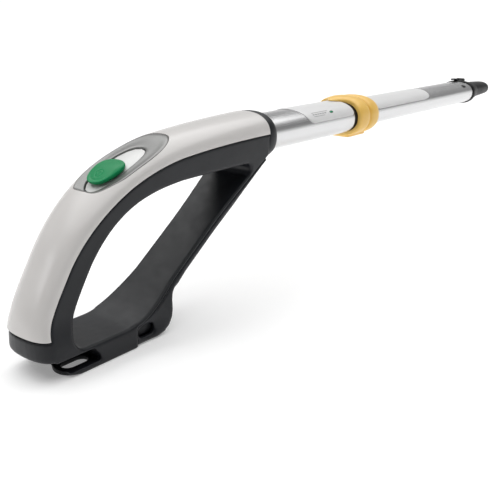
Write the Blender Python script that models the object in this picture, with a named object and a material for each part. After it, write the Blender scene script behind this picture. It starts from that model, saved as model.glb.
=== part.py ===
"""Telescopic handle of an upright cleaner: a D-shaped grip on a flat foot, a sliding power
switch, an oval outer tube, a release collar and an inner tube that ends in a plug.

Frame: +X runs along the tube towards the plug, +Y is the left side, +Z is up. The origin is
the middle of the flat foot, on the surface that the handle stands on. Lengths are millimetres
in this file, and are turned into metres by MM.
"""
import math

import bmesh
import bpy
from mathutils import Matrix, Vector
from mathutils.geometry import interpolate_bezier

MM = 0.001
GAP = 0.3                      # space left between pieces that meet

# ---- driving dimensions, in millimetres -------------------------------------------------
WALL = 2.4                     # moulded wall
FOOT_WIDTH = 22.5              # half width of the foot
GRIP_WIDTH = 18.5              # half width of the grip where the hand closes
COLLAR_WIDTH = 24.0            # half width at the tube socket
AXIS_Z = 120.5                 # height of the tube's axis
OUTER_A, OUTER_B = 21.5, 14.0  # outer tube, half width and half height
INNER_A, INNER_B = 19.4, 11.9  # inner tube, half width and half height
TUBE_WALL = 1.3
PANEL_START, INLAY_END = 203.0, 430.0   # label panel's rear edge, and the inlay's front edge
LABEL_FILM = 0.7               # label panel on the outer tube
PANEL_FILM = 0.25              # inlay on the inner tube, thin enough to slide into the outer one
SLIDE_ROOM = 0.85              # guide bush's room around the inner tube and its inlay
TUBE_POWER = 2.3               # superellipse exponent of both tubes
SOCKET_END = 150.0             # where the moulded handle ends
RIM_END = 160.0                # front face of the dark rim round the tube
OUTER_START, OUTER_END = 112.0, 274.0
INNER_START, INNER_END = 244.0, 534.0
RING_START, RING_END = 279.0, 313.0
PLUG_END = 602.0
FOOT_TOP = 15.6                # top of the foot, inside the loop
BAR_PLATE = 2.6                # inner plate of the front bar
BAR_DEPTH = 9.0                # front bar, plate and cover together
SEAM_X = 12.3                  # where the front cover meets the foot
BAR_SLOPE = Vector((0.806, 0.592))   # direction of the front bar in the side view
SCREWS_X = (121.0, 141.0)      # screws through the grip's floor into the outer tube
SCREW_RADIUS, SCREW_HOLE = 1.4, 1.75
LEAD_RADIUS, COIL_LEAD_RADIUS = 2.2, 1.6
BUTT_LOW, BUTT_HIGH = 14.0, 27.2
BUTT_BACK = -51.6              # rearmost point of the seam
INLET_X, INLET_PITCH = -48.2, 5.0   # the inlet's two pins
EYE, EYE_R = (-31.8, -9.9), 12.4   # middle and radius of the eye beside the foot
EYE_TOP = 3.6                  # top of the eye's plate; the inlet's well stays above it
PIN_X = 293.0                  # lock pin under the collar
PIN_LENGTH, PIN_CATCH = 3.7, 1.1   # the pin, and how far it stands in the inner tube's groove
PIN_RADIUS, PIN_BORE = 2.6, 2.9
PIN_POCKET = 17.2              # depth of the collar's pocket under the tubes' axis
BUTTON_AT = Vector((518.0, -14.5, 129.2))    # latch button, on the inner tube's shoulder
BUTTON_OUT = Vector((0.0, -0.533, 0.846))    # outward normal of the tube there
CREST_Y = 5.0                  # side offset of the latch arm on the plug
CONTACT_PITCH = 4.6            # between the plug's three contacts
BEZEL_MID, BEZEL_HALF = 22.2, 5.25   # stations of the cover that the bezel spans
SLOT_MID, SLOT_HALF = 21.2, 3.80     # and the opening in it
SLOT_WIDTH = 11.8
BEZEL_DEPTH = 4.0              # how far the opening's edge lies under the cover's surface
TRACK_DEPTH = 4.4
COVER_WALL = 2.2
SIDE_POWER, CROWN_POWER = 0.86, 0.90   # roundness of the cover across and upwards
KNOB_A, KNOB_B = 12.6, 11.4    # half length and half width of the knob
STEM_BACK = 6.0                # the knob's stem sits this far behind its middle
RING_POINTS = 44

# ---- Bezier knots of the grip: (point, handle towards the butt, handle towards the tube) --
GRIP_INNER = [
    ((-35.5, 27.0), (-35.5, 27.0), (-33.8, 38.4)),
    ((-20.5, 58.5), (-26.6, 48.7), (-12.3, 71.7)),
    ((10.8, 92.1), (-2.5, 84.2), (25.4, 100.8)),
    ((60.0, 104.2), (43.1, 103.0), (85.0, 104.8)),
    ((SOCKET_END, 104.8), (125.0, 104.8), (SOCKET_END, 104.8)),
]
GRIP_SEAM = [
    ((BUTT_BACK, 27.5), (BUTT_BACK, 27.5), (BUTT_BACK, 38.5)),
    ((-33.5, 65.0), (-40.9, 53.1), (-24.2, 79.9)),
    ((4.0, 102.0), (-10.9, 92.9), (20.2, 111.9)),
    ((58.0, 119.7), (39.2, 117.2), (88.0, 122.6)),
    ((SOCKET_END, 123.4), (120.0, 123.4), (SOCKET_END, 123.4)),
]
CROWN_HEIGHTS = (9.0, 9.5, 9.6, 12.8, 15.4)   # cover above the seam, one at each knot
KNOT_STEPS = 9                                # stations between two knots

DARK = ("dark_plastic", (0.045, 0.047, 0.052), 0.38, 0.0)
WHITE = ("white_gloss", (0.80, 0.80, 0.78), 0.15, 0.0)
GREY = ("satin_grey", (0.40, 0.40, 0.39), 0.30, 0.2)
GREEN = ("green_knob", (0.0, 0.30, 0.09), 0.30, 0.0)
YELLOW = ("yellow_collar", (0.85, 0.52, 0.05), 0.35, 0.0)
BLACK = ("black_plastic", (0.01, 0.01, 0.011), 0.35, 0.0)
ALU = ("anodised_aluminium", (0.62, 0.62, 0.63), 0.30, 1.0)
PANEL = ("light_panel", (0.62, 0.63, 0.63), 0.35, 0.0)
BRASS = ("contact_brass", (0.75, 0.55, 0.22), 0.25, 1.0)
STEEL = ("spring_steel", (0.50, 0.50, 0.52), 0.30, 1.0)


# ---- scene helpers ------------------------------------------------------------------------
def clear_scene():
    for obj in list(bpy.data.objects):
        bpy.data.objects.remove(obj, do_unlink=True)


def new_collection(name):
    group = bpy.data.collections.new(name)
    bpy.context.scene.collection.children.link(group)
    return group


clear_scene()
PARTS = new_collection("cleaner_handle")
CUTTERS = new_collection("cutters")
MATERIALS = {}


def material(spec):
    name, rgb, roughness, metallic = spec
    if name not in MATERIALS:
        mat = bpy.data.materials.new(name)
        mat.use_nodes = True
        shader = mat.node_tree.nodes["Principled BSDF"]
        shader.inputs["Base Color"].default_value = (*rgb, 1.0)
        shader.inputs["Roughness"].default_value = roughness
        shader.inputs["Metallic"].default_value = metallic
        MATERIALS[name] = mat
    return MATERIALS[name]


def finish_mesh(name, bm, spec, group=None):
    """Turns a bmesh in millimetres into a smooth-shaded object in metres."""
    bmesh.ops.recalc_face_normals(bm, faces=bm.faces)
    bmesh.ops.scale(bm, vec=(MM, MM, MM), verts=bm.verts)
    mesh = bpy.data.meshes.new(name)
    bm.to_mesh(mesh)
    bm.free()
    mesh.shade_smooth()
    mesh.set_sharp_from_angle(angle=math.radians(32))
    obj = bpy.data.objects.new(name, mesh)
    (group or PARTS).objects.link(obj)
    if spec:
        mesh.materials.append(material(spec))
    return obj


def hide_cutter(obj):
    obj.hide_render = True
    obj.display_type = "WIRE"


def boolean(obj, other, operation):
    mod = obj.modifiers.new(operation.lower(), "BOOLEAN")
    mod.operation = operation
    mod.object = other
    mod.solver = "EXACT"
    hide_cutter(other)


def set_origin(obj, point):
    """Moves the object's origin to a point in millimetres and leaves its shape in place."""
    target = Vector(point) * MM
    obj.data.transform(Matrix.Translation(obj.location - target))
    obj.location = target


# ---- shape helpers ------------------------------------------------------------------------
def blend(knots, x):
    """Smooth value between sorted (position, value) knots."""
    if x <= knots[0][0]:
        return knots[0][1]
    for (x0, v0), (x1, v1) in zip(knots, knots[1:]):
        if x <= x1:
            t = (x - x0) / (x1 - x0)
            return v0 + (v1 - v0) * t * t * (3.0 - 2.0 * t)
    return knots[-1][1]


def half_width(z):
    """The handle is waisted: wide at the foot, slim at the hand, wide at the socket."""
    waist = [(16.0, FOOT_WIDTH), (40.0, GRIP_WIDTH), (62.0, GRIP_WIDTH), (124.0, COLLAR_WIDTH)]
    return blend(waist, z)


def bezier_chain(knots):
    points = []
    for (p0, _, h0), (p1, h1, _) in zip(knots, knots[1:]):
        run = interpolate_bezier(*(Vector((p[0], p[1], 0)) for p in (p0, h0, h1, p1)), KNOT_STEPS + 1)
        points += [(v.x, v.y) for v in run[:-1]]
    points.append(knots[-1][0])
    return [Vector(p) for p in points]


def arc_points(centre, radius, start, stop, count):
    """Points on a circle in the side view, angles in degrees."""
    result = []
    for i in range(count + 1):
        a = math.radians(start + (stop - start) * i / count)
        result.append(Vector((centre[0] + radius * math.cos(a), centre[1] + radius * math.sin(a))))
    return result


def superellipse(a, b, power, count):
    """Closed loop of (y, z) pairs."""
    loop = []
    for i in range(count):
        t = 2.0 * math.pi * i / count
        c, s = math.cos(t), math.sin(t)
        loop.append((a * math.copysign(abs(c) ** (2.0 / power), c),
                     b * math.copysign(abs(s) ** (2.0 / power), s)))
    return loop


def skin(name, rings, spec, closed=False, group=None):
    """Solid through a row of closed loops with equal numbers of points."""
    bm = bmesh.new()
    rows = [[bm.verts.new(p) for p in ring] for ring in rings]
    pairs = list(zip(rows, rows[1:]))
    if closed:
        pairs.append((rows[-1], rows[0]))
    for one, two in pairs:
        size = len(one)
        for i in range(size):
            j = (i + 1) % size
            bm.faces.new((one[i], one[j], two[j], two[i]))
    if not closed:
        bm.faces.new(rows[0])
        bm.faces.new(list(reversed(rows[-1])))
    return finish_mesh(name, bm, spec, group)


def tube_rings(stations, count=40, power=TUBE_POWER):
    """Oval loops across X. Each station is (x, half width, half height)."""
    rings = []
    for x, a, b in stations:
        rings.append([(x, y, AXIS_Z + z) for y, z in superellipse(a, b, power, count)])
    return rings


def pipe(name, outside, inside, spec, count=40, group=None):
    """Hollow oval piece: outside stations in order, then inside stations back again."""
    rings = tube_rings(outside, count) + tube_rings(list(reversed(inside)), count)
    return skin(name, rings, spec, closed=True, group=group)


def box(name, low, high, spec, bevel=0.0, group=None):
    bm = bmesh.new()
    bmesh.ops.create_cube(bm, size=1.0)
    size = Vector(high) - Vector(low)
    bmesh.ops.scale(bm, vec=size, verts=bm.verts)
    bmesh.ops.translate(bm, vec=(Vector(low) + Vector(high)) / 2.0, verts=bm.verts)
    if bevel:
        bmesh.ops.bevel(bm, geom=bm.edges[:], offset=bevel, segments=2, affect="EDGES", profile=0.5)
    return finish_mesh(name, bm, spec, group)


def rod(name, start, end, radius, spec, sides=20, group=None):
    bm = bmesh.new()
    axis = Vector(end) - Vector(start)
    turn = axis.to_track_quat("Z", "Y").to_matrix().to_4x4()
    place = Matrix.Translation((Vector(start) + Vector(end)) / 2.0) @ turn
    bmesh.ops.create_cone(bm, cap_ends=True, segments=sides, radius1=radius, radius2=radius,
                          depth=axis.length, matrix=place)
    return finish_mesh(name, bm, spec, group)


def stadium(length, width, count=8):
    """Outline with round ends, lying along its first axis."""
    half = (length - width) / 2.0
    radius = width / 2.0
    right = [(half + radius * math.cos(a), radius * math.sin(a))
             for a in (math.radians(-90 + 180 * i / count) for i in range(count + 1))]
    left = [(-x, -y) for x, y in right]
    return right + left


def wire(name, points, radius, spec):
    """Round lead along a list of points, made solid."""
    curve = bpy.data.curves.new(name, "CURVE")
    curve.dimensions = "3D"
    curve.bevel_depth = radius * MM
    curve.bevel_resolution = 2
    curve.use_fill_caps = True
    spline = curve.splines.new("POLY")
    spline.points.add(len(points) - 1)
    for point, place in zip(spline.points, points):
        point.co = (*(Vector(place) * MM), 1.0)
    guide = bpy.data.objects.new(name + "_guide", curve)
    CUTTERS.objects.link(guide)
    bpy.context.view_layer.update()
    ready = guide.evaluated_get(bpy.context.evaluated_depsgraph_get())
    mesh = bpy.data.meshes.new_from_object(ready)
    bm = bmesh.new()
    bm.from_mesh(mesh)
    bmesh.ops.remove_doubles(bm, verts=bm.verts, dist=0.00002)
    bm.to_mesh(mesh)
    bm.free()
    mesh.materials.clear()
    mesh.materials.append(material(spec))
    mesh.shade_smooth()
    obj = bpy.data.objects.new(name, mesh)
    obj.matrix_world = guide.matrix_world
    PARTS.objects.link(obj)
    bpy.data.objects.remove(guide, do_unlink=True)
    return obj


# ---- side-view curves ---------------------------------------------------------------------
INNER = bezier_chain(GRIP_INNER)
SEAM = bezier_chain(GRIP_SEAM)
CROWN = []
for step in range(len(INNER)):
    knot, rest = divmod(step, KNOT_STEPS)
    if knot + 1 < len(CROWN_HEIGHTS):
        low, high = CROWN_HEIGHTS[knot], CROWN_HEIGHTS[knot + 1]
        CROWN.append(low + (high - low) * rest / KNOT_STEPS)
    else:
        CROWN.append(CROWN_HEIGHTS[-1])


def seam_normal(i):
    """Unit normal of the seam, pointing out of the grip."""
    a = SEAM[max(i - 1, 0)]
    b = SEAM[min(i + 1, len(SEAM) - 1)]
    t = (b - a).normalized()
    return Vector((-t.y, t.x))


def bar_line():
    """Inner face of the foot, the heel and the front bar, from the grip's foot to the top corner."""
    corner = arc_points((-28.5, FOOT_TOP + 7.5), 7.5, 180, 270, 5)
    foot = [Vector((x, FOOT_TOP)) for x in (-20.0, -10.0, 2.0)]
    rise = interpolate_bezier(Vector((2, FOOT_TOP, 0)), Vector((20, FOOT_TOP, 0)),
                              Vector((35.5, 27.6, 0)), Vector((50, 38.3, 0)), 12)
    heel = [Vector((v.x, v.y)) for v in rise[1:]]
    bar = [heel[-1] + BAR_SLOPE * d for d in (16.0, 32.0, 48.0, 64.0, 80.0, 97.0)]
    return corner, foot, heel, bar


# ---- moulded frame ------------------------------------------------------------------------
def band_ring(inner, outer, edge=2.2):
    """Cross loop of the solid band between two side-view points, with softened edges."""
    span = outer - inner
    length = span.length
    soft = min(edge, length * 0.35)
    side = [(0.0, soft), (soft * 0.3, soft * 0.3), (soft, 0.0), (length * 0.4, 0.0),
            (length * 0.7, 0.0), (length - soft * 0.3, 0.0), (length, soft * 0.3)]
    loop = []
    for sign in (1, -1):
        order = side if sign > 0 else list(reversed(side))
        for u, inset in order:
            p = inner + span * (u / length)
            y = sign * (half_width(p.y) - inset)
            loop.append((p.x, y, p.y))
    return loop


def height_on(line, x):
    """Height of a side-view line at x."""
    for a, b in zip(line, line[1:]):
        if a.x <= x <= b.x:
            return a.y + (b.y - a.y) * (x - a.x) / (b.x - a.x)
    return line[-1].y


def make_frame():
    corner, foot, heel, bar = bar_line()
    top = len(INNER) - 1
    first = next(i for i in range(top, 0, -1) if INNER[i].x < 122.0)
    pairs = [(INNER[i], SEAM[i]) for i in range(first, -1, -1)]
    butt = [Vector((BUTT_BACK, 22.0)), Vector((BUTT_BACK, 15.0)), Vector((-47.0, 8.0)),
            Vector((-40.0, 1.5)), Vector((-34.0, 0.0)), Vector((-27.0, 0.0))]
    pairs += list(zip(corner, butt))
    pairs += [(p, Vector((p.x, 0.0))) for p in foot]
    thin = []
    line = heel + bar
    for i, p in enumerate(line):
        a = line[max(i - 1, 0)]
        b = line[min(i + 1, len(line) - 1)]
        t = (b - a).normalized()
        thin.append((p, p + Vector((t.y, -t.x)) * BAR_PLATE))
    pairs += [(p, Vector((p.x, 0.0))) for p, _ in thin if p.x < SEAM_X - 1.0]
    seam_z = height_on(line, SEAM_X)
    pairs.append((Vector((SEAM_X - 0.1, seam_z)), Vector((SEAM_X, 0.0))))
    pairs.append((Vector((SEAM_X + 0.4, seam_z + 0.1)), Vector((SEAM_X + 0.1, seam_z - BAR_PLATE))))
    pairs += [pair for pair in thin if pair[0].x > SEAM_X + 1.0]
    fillet = arc_points((bar[-1].x - 3.2, 100.0), 4.8, -42, 78, 4)
    far = [Vector((SOCKET_END, 108.4)), Vector((SOCKET_END, 112.0)), Vector((SOCKET_END, 118.0)),
           Vector((SOCKET_END, 123.4)), Vector((138.0, 123.4))]
    pairs += list(zip(fillet, far))
    frame = skin("frame", [band_ring(a, b) for a, b in pairs], DARK, closed=True)

    # rounded butt below the white cover
    butt_rings = []
    for z, inset in ((BUTT_LOW, 1.6), (BUTT_LOW + 1.2, 0.3), (BUTT_LOW + 3.0, 0.0), (BUTT_HIGH, 0.0)):
        ring = []
        for i in range(17):
            a = math.radians(90 + 180 * i / 16)
            ring.append((-51.0 + (9.2 - inset) * math.cos(a),
                         (half_width(z) - inset) * math.copysign(abs(math.sin(a)) ** 0.85, math.sin(a)), z))
        ring.append((-40.0, -(half_width(z) - 3.0), z))
        ring.append((-40.0, half_width(z) - 3.0, z))
        butt_rings.append(ring)
    cap = skin("butt_round", butt_rings, DARK, group=CUTTERS)
    boolean(frame, cap, "UNION")

    # eye beside the foot
    eye_rings = []
    for z, grow in ((0.0, -0.8), (0.8, 0.0), (EYE_TOP - 0.8, 0.0), (EYE_TOP, -0.8)):
        ring = []
        for i in range(17):
            a = math.radians(70 + 200 * i / 16)
            ring.append((EYE[0] + (EYE_R + grow) * math.cos(a), EYE[1] + (EYE_R + grow) * math.sin(a), z))
        ring.append((-15.0, -22.0 - grow * 0.1, z))
        ring.append((-15.0, 2.0, z))
        eye_rings.append(ring)
    eye = skin("eye_plate", eye_rings, DARK, group=CUTTERS)
    boolean(frame, eye, "UNION")
    scoop = []
    levels = ((3.4, -17.5, -3.4, 5.0), (8.0, -19.0, -4.6, 6.0), (13.3, -23.0, -8.4, 6.0))
    for z, right, back, radius in levels:
        ring = [(-58.0, -34.0, z), (right, -34.0, z)]
        ring += [(x, y, z) for x, y in arc_points((right - radius, back - radius), radius, 0, 90, 5)]
        scoop.append(ring + [(-58.0, back, z)])
    boolean(frame, skin("eye_scoop", scoop, None, group=CUTTERS), "DIFFERENCE")
    slot = skin("eye_slot", [[(EYE[0] + 1.6 + x, EYE[1] - 0.3 + y, z) for x, y in stadium(19.0, 9.6)]
                             for z in (-3.0, 9.0)], None, group=CUTTERS)
    boolean(frame, slot, "DIFFERENCE")

    # well for the mains inlet, open downwards and into the hollow
    well = box("inlet_well", (-56.5, -11.0, EYE_TOP + 0.6), (-39.5, 11.0, 36.5), None, group=CUTTERS)
    boolean(frame, well, "DIFFERENCE")

    for n, x in enumerate(SCREWS_X):
        bore = rod("floor_bore_%d" % n, (x, 0, 99.0), (x, 0, 110.0), SCREW_HOLE, None, group=CUTTERS)
        boolean(frame, bore, "DIFFERENCE")

    # hollow of the grip, open on top and at the tube end
    hollow = []
    for i in range(2, top + 1):
        inner = INNER[i]
        seam = SEAM[i]
        up = (seam - inner).normalized()
        hollow.append((inner + up * WALL, seam + up * 6.0))
    floor = AXIS_Z - OUTER_B - 0.2
    hollow = [(a if a.x < 55.0 else Vector((a.x, floor)), b) for a, b in hollow]
    hollow.append((Vector((SOCKET_END + 4, floor)), Vector((SOCKET_END + 4, 129.4))))
    rings = []
    for a, b in hollow:
        wide = half_width((a.y + b.y) / 2.0) - blend([(20.0, WALL), (80.0, 1.7)], a.x)
        ring = [(a.x, wide - 2.0, a.y), ((a.x * 0.85 + b.x * 0.15), wide, (a.y * 0.85 + b.y * 0.15)),
                (b.x, wide, b.y)]
        rings.append(ring + [(x, -y, z) for x, y, z in reversed(ring)])
    boolean(frame, skin("grip_hollow", rings, None, group=CUTTERS), "DIFFERENCE")
    return frame


# ---- white cover and what sits in it ------------------------------------------------------
def arch(i, inset, lift=GAP, count=10):
    """Half loop of the cover at one station: from the right edge over the crown to the left."""
    normal = seam_normal(i)
    base = SEAM[i] + normal * lift
    width = half_width(SEAM[i].y) - 0.1 - inset
    height = CROWN[i] - inset
    loop = []
    for k in range(count + 1):
        a = math.pi * k / count
        c, s = math.cos(a), math.sin(a)
        y = -width * math.copysign(abs(c) ** SIDE_POWER, c)
        p = base + normal * (height * abs(s) ** CROWN_POWER)
        loop.append((p.x, y, p.y))
    return loop


def on_cover(s, y, depth):
    """Point under the cover's outer surface at station s (a fraction is allowed)."""
    i = min(int(s), len(SEAM) - 2)
    f = s - i
    normal = (seam_normal(i) * (1 - f) + seam_normal(i + 1) * f).normalized()
    base = SEAM[i] * (1 - f) + SEAM[i + 1] * f + normal * GAP
    height = CROWN[i] * (1 - f) + CROWN[i + 1] * f
    width = half_width(base.y) - 0.1
    c = min(abs(y) / width, 0.999) ** (1 / SIDE_POWER)
    rise = height * math.sqrt(1.0 - c * c) ** CROWN_POWER
    p = base + normal * (rise - depth)
    return (p.x, y, p.y)


def bezel_outline(k, count, grow=0.0):
    """Station and side offset round the bezel: square-ended near the butt, round towards the tube."""
    a = 2.0 * math.pi * k / count
    c, sn = math.cos(a), math.sin(a)
    power = 0.40 if c < 0 else 0.62
    s = BEZEL_MID + (BEZEL_HALF + grow / 7.0) * math.copysign(abs(c) ** 0.9, c)
    widths = [(BEZEL_MID - BEZEL_HALF, 16.8), (BEZEL_MID - 2.0, 19.6), (BEZEL_MID + BEZEL_HALF, 19.8)]
    width = blend(widths, s)
    return s, (width + grow) * math.copysign(abs(sn) ** power, sn)


def slot_outline(k, count, grow=0.0):
    """Station and side offset round the opening that the knob slides in."""
    a = 2.0 * math.pi * k / count
    c, sn = math.cos(a), math.sin(a)
    s = SLOT_MID + (SLOT_HALF + grow / 7.0) * math.copysign(abs(c) ** 0.9, c)
    return s, (SLOT_WIDTH + grow) * math.copysign(abs(sn) ** 0.85, sn)


SLIDE_AXIS = Vector((0.908, 0.0, 0.419))      # direction that the knob slides in
SLIDE_UP = Vector((-0.419, 0.0, 0.908))
KNOB_AT = Vector(on_cover(20.1, 0.0, 1.6))   # on the crown, above the middle of the knob


def slide_point(along, side, up):
    return KNOB_AT + SLIDE_AXIS * along + Vector((0.0, side, 0.0)) + SLIDE_UP * up


def button_ring(length, width, out):
    """Stadium outline across the latch button's axis."""
    side = Vector((0.0, BUTTON_OUT.z, -BUTTON_OUT.y))
    middle = BUTTON_AT + BUTTON_OUT * out
    return [middle + Vector((x, 0.0, 0.0)) + side * y for x, y in stadium(length, width, 6)]


def make_top_cover():
    rings = []
    for i in range(len(SEAM)):
        outer = arch(i, 0.0)
        inner = arch(i, COVER_WALL)
        rings.append(outer + list(reversed(inner)))
    cover = skin("top_cover", rings, WHITE)
    hole = []
    for depth in (-5.0, 2.6, 9.0):
        hole.append([on_cover(*bezel_outline(k, RING_POINTS, 0.35), depth) for k in range(RING_POINTS)])
    boolean(cover, skin("bezel_hole", hole, None, group=CUTTERS), "DIFFERENCE")
    return cover


def make_bezel():
    """Dished ring between the cover and the opening; each section is (share inwards, depth)."""
    sections = ((0.0, 2.4), (0.0, 0.4), (0.05, 0.05), (0.12, 0.25), (0.40, 1.6), (0.75, 2.7),
                (1.0, BEZEL_DEPTH), (1.0, BEZEL_DEPTH + 1.8), (0.55, BEZEL_DEPTH + 0.8), (0.2, 2.6))
    rings = []
    for k in range(RING_POINTS):
        s0, y0 = bezel_outline(k, RING_POINTS)
        s1, y1 = slot_outline(k, RING_POINTS)
        rings.append([on_cover(s0 + (s1 - s0) * share, y0 + (y1 - y0) * share, depth)
                      for share, depth in sections])
    return skin("switch_bezel", rings, GREY, closed=True)


def make_slide_track():
    """White floor of the switch opening, with a slot for the knob's stem."""
    bm = bmesh.new()
    steps = 9
    rows = []
    for depth in (TRACK_DEPTH, TRACK_DEPTH + 1.5):
        layer = []
        for i in range(steps + 1):
            u = -math.cos(math.pi * i / steps)
            s = SLOT_MID + (SLOT_HALF - 0.06) * u
            wide = (SLOT_WIDTH - 0.35) * max(1.0 - abs(u) ** (2.0 / 0.9), 0.0) ** (0.85 / 2.0) + 0.02
            layer.append([bm.verts.new(on_cover(s, wide * v, depth)) for v in (-1, -0.6, -0.2, 0.2, 0.6, 1)])
        rows.append(layer)
    top, under = rows
    across = len(top[0])
    for i in range(steps):
        for j in range(across - 1):
            bm.faces.new((top[i][j], top[i + 1][j], top[i + 1][j + 1], top[i][j + 1]))
            bm.faces.new((under[i][j], under[i][j + 1], under[i + 1][j + 1], under[i + 1][j]))
        for j in (0, across - 1):
            bm.faces.new((top[i][j], top[i + 1][j], under[i + 1][j], under[i][j]))
    for i in (0, steps):
        for j in range(across - 1):
            bm.faces.new((top[i][j], top[i][j + 1], under[i][j + 1], under[i][j]))
    track = finish_mesh("slide_track", bm, WHITE)
    slot = skin("stem_slot", [[slide_point(x + 1.5, y, up) for x, y in stadium(21.5, 5.2, 5)]
                              for up in (-16.0, 4.0)], None, group=CUTTERS)
    boolean(track, slot, "DIFFERENCE")
    return track


def make_switch():
    """Knob with its stem, the carriage that it drives and the fixed contact block below."""
    rings = []
    levels = ((-2.3, 0.93, 0.0), (-1.8, 0.985, 0.0), (-0.4, 1.0, 0.0), (0.6, 0.965, 0.3), (1.3, 0.88, 0.7),
              (1.8, 0.66, 1.0), (2.0, 0.34, 1.0))
    for up, scale, tilt in levels:
        ring = []
        for x, y in superellipse(KNOB_A * scale, KNOB_B * scale, 2.4, 36):
            fall = 1.5 * tilt * (abs(x - 1.5) / 12.0) ** 1.4
            ring.append(slide_point(x, y * (1.0 + 0.010 * x), up - fall))
        rings.append(ring)
    knob = skin("switch_knob", rings, GREEN)
    stem = skin("knob_stem", [[slide_point(x - STEM_BACK, y, up) for x, y in stadium(6.0, 4.6, 5)]
                              for up in (-8.9, -1.2)], GREEN, group=CUTTERS)
    boolean(knob, stem, "UNION")
    set_origin(knob, KNOB_AT)
    plate = [[slide_point(x - STEM_BACK, y, up) for x, y in stadium(16.0, 11.0, 6)] for up in (-12.6, -9.3)]
    carriage = skin("switch_carriage", plate, BLACK)
    set_origin(carriage, KNOB_AT)
    contact = [[slide_point(x - STEM_BACK, y, up) for x, y in stadium(12.0, 3.0, 5)] for up in (-13.7, -12.9)]
    bridge = skin("contact_bridge", contact, BRASS)
    set_origin(bridge, KNOB_AT)
    corners = ((-10.0, -9.0), (17.0, -9.0), (17.0, 9.0), (-10.0, 9.0))
    skin("switch_block", [[slide_point(x, y, up) for x, y in corners] for up in (-18.2, -14.1)], BLACK)


# ---- front cover, heel and cord hook ------------------------------------------------------
def cover_stations():
    """Inner and outer side-view points of the front cover, from the top of the bar to the foot."""
    _, _, heel, bar = bar_line()
    slope = BAR_SLOPE
    down = Vector((slope.y, -slope.x))
    top = Vector((SOCKET_END - 0.3, 0.0))
    start = heel[-1]
    reach = (top.x - start.x) / slope.x
    stations = []
    for share in (0.955, 0.89, 0.8, 0.6, 0.4, 0.2, 0.09, 0.0):
        p = start + slope * (reach * share)
        depth = blend([(0.6, BAR_DEPTH), (0.955, 5.4)], share)
        stations.append((p + down * (BAR_PLATE + GAP), p + down * depth))
    outer = [Vector((50.0, 28.6)), Vector((47.6, 25.4)), Vector((46.6, 21.0)), Vector((46.4, 15.0)),
             Vector((45.6, 9.6)), Vector((42.6, 4.6)), Vector((38.0, 1.4)), Vector((32.0, 0.0)),
             Vector((24.0, 0.0)), Vector((18.0, 0.0)), Vector((SEAM_X + GAP, 0.0))]
    inner = []
    for k in range(len(outer)):
        f = (k + 1.0) / len(outer) * 11.0
        i = min(int(11.0 - f), len(heel) - 2)
        mix = (11.0 - f) - i
        p = heel[i] * (1.0 - mix) + heel[i + 1] * mix
        t = (heel[i + 1] - heel[i]).normalized()
        inner.append(p + Vector((t.y, -t.x)) * (BAR_PLATE + GAP))
    keep = [(a, b) for a, b in zip(inner, outer) if a.x > SEAM_X + 3.0]
    stations += keep
    ground = [b for a, b in zip(inner, outer) if a.x <= SEAM_X + 3.0]
    last = keep[-1][0]
    goal = Vector((SEAM_X + GAP + 0.1, height_on(heel, SEAM_X) - BAR_PLATE - 0.4))
    for n, b in enumerate(ground):
        f = (n + 1.0) / len(ground)
        stations.append((last * (1.0 - f) + goal * f, b))
    return stations


def make_front_cover():
    rings = []
    wall = 2.2
    for inner, outer in cover_stations():
        span = outer - inner
        length = span.length
        unit = span / length
        soft = min(4.6, length * 0.62)
        loop = []
        profile = [(0.0, 0.0), (length - soft, 0.0), (length - soft * 0.55, 0.5), (length - soft * 0.18, 1.9),
                   (length, 4.8)]
        for u, inset in profile:
            p = inner + unit * u
            loop.append((p.x, half_width(p.y) - inset, p.y))
        loop += [(x, -y, z) for x, y, z in reversed(loop)]
        deep = inner + unit * (length - wall)
        lip = half_width(inner.y) - wall
        floor = half_width(deep.y) - max(wall, 4.4)
        hollow = [(inner.x, -lip, inner.y), (deep.x, -floor, deep.y),
                  (deep.x, floor, deep.y), (inner.x, lip, inner.y)]
        rings.append(loop + hollow)
    cover = skin("front_cover", rings, DARK)
    outline = stadium(15.0, 8.0, 6)
    for side in (1, -1):
        rims = [[(21.5 + x, side * y, 8.7 + z) for x, z in outline] for y in (14.0, 30.0)]
        window = skin("hook_window_%d" % (side + 1), rims, None, group=CUTTERS)
        boolean(cover, window, "DIFFERENCE")
    return cover


def make_hook_core():
    """Waisted block behind the two side recesses of the heel."""
    rings = []
    for y, grow in ((-16.6, 0.0), (-14.5, -0.5), (14.5, -0.5), (16.6, 0.0)):
        rings.append([(22.0 + x * (1 + grow / 20), y, 8.4 + z) for x, z in stadium(17.0, 9.4, 6)])
    skin("cord_hook_core", rings, DARK)


# ---- tubes, panels, rim, bush and collar --------------------------------------------------
def strip(name, x0, x1, a, b, thick, spec, edge_angle, taper_start, taper_end):
    """Thin panel wrapped over the top of an oval tube."""
    rings = []
    count = 14
    span = x1 - x0
    stops = [(0.0, taper_start), (1.6, (1 + taper_start) / 2), (4.5, 1.0),
             (span - 4.5, 1.0), (span - 1.6, (1 + taper_end) / 2), (span, taper_end)]
    for along, share in stops:
        low = 90.0 - (90.0 - edge_angle) * share
        loop = []
        for r in (thick + GAP, GAP):
            arc = []
            for k in range(count + 1):
                t = math.radians(low + (180.0 - 2.0 * low) * k / count)
                c, sn = math.cos(t), math.sin(t)
                arc.append((x0 + along, (a + r) * math.copysign(abs(c) ** (2 / TUBE_POWER), c),
                            AXIS_Z + (b + r) * abs(sn) ** (2 / TUBE_POWER)))
            loop += arc if r > GAP else list(reversed(arc))
        rings.append(loop)
    return skin(name, rings, spec)


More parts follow.
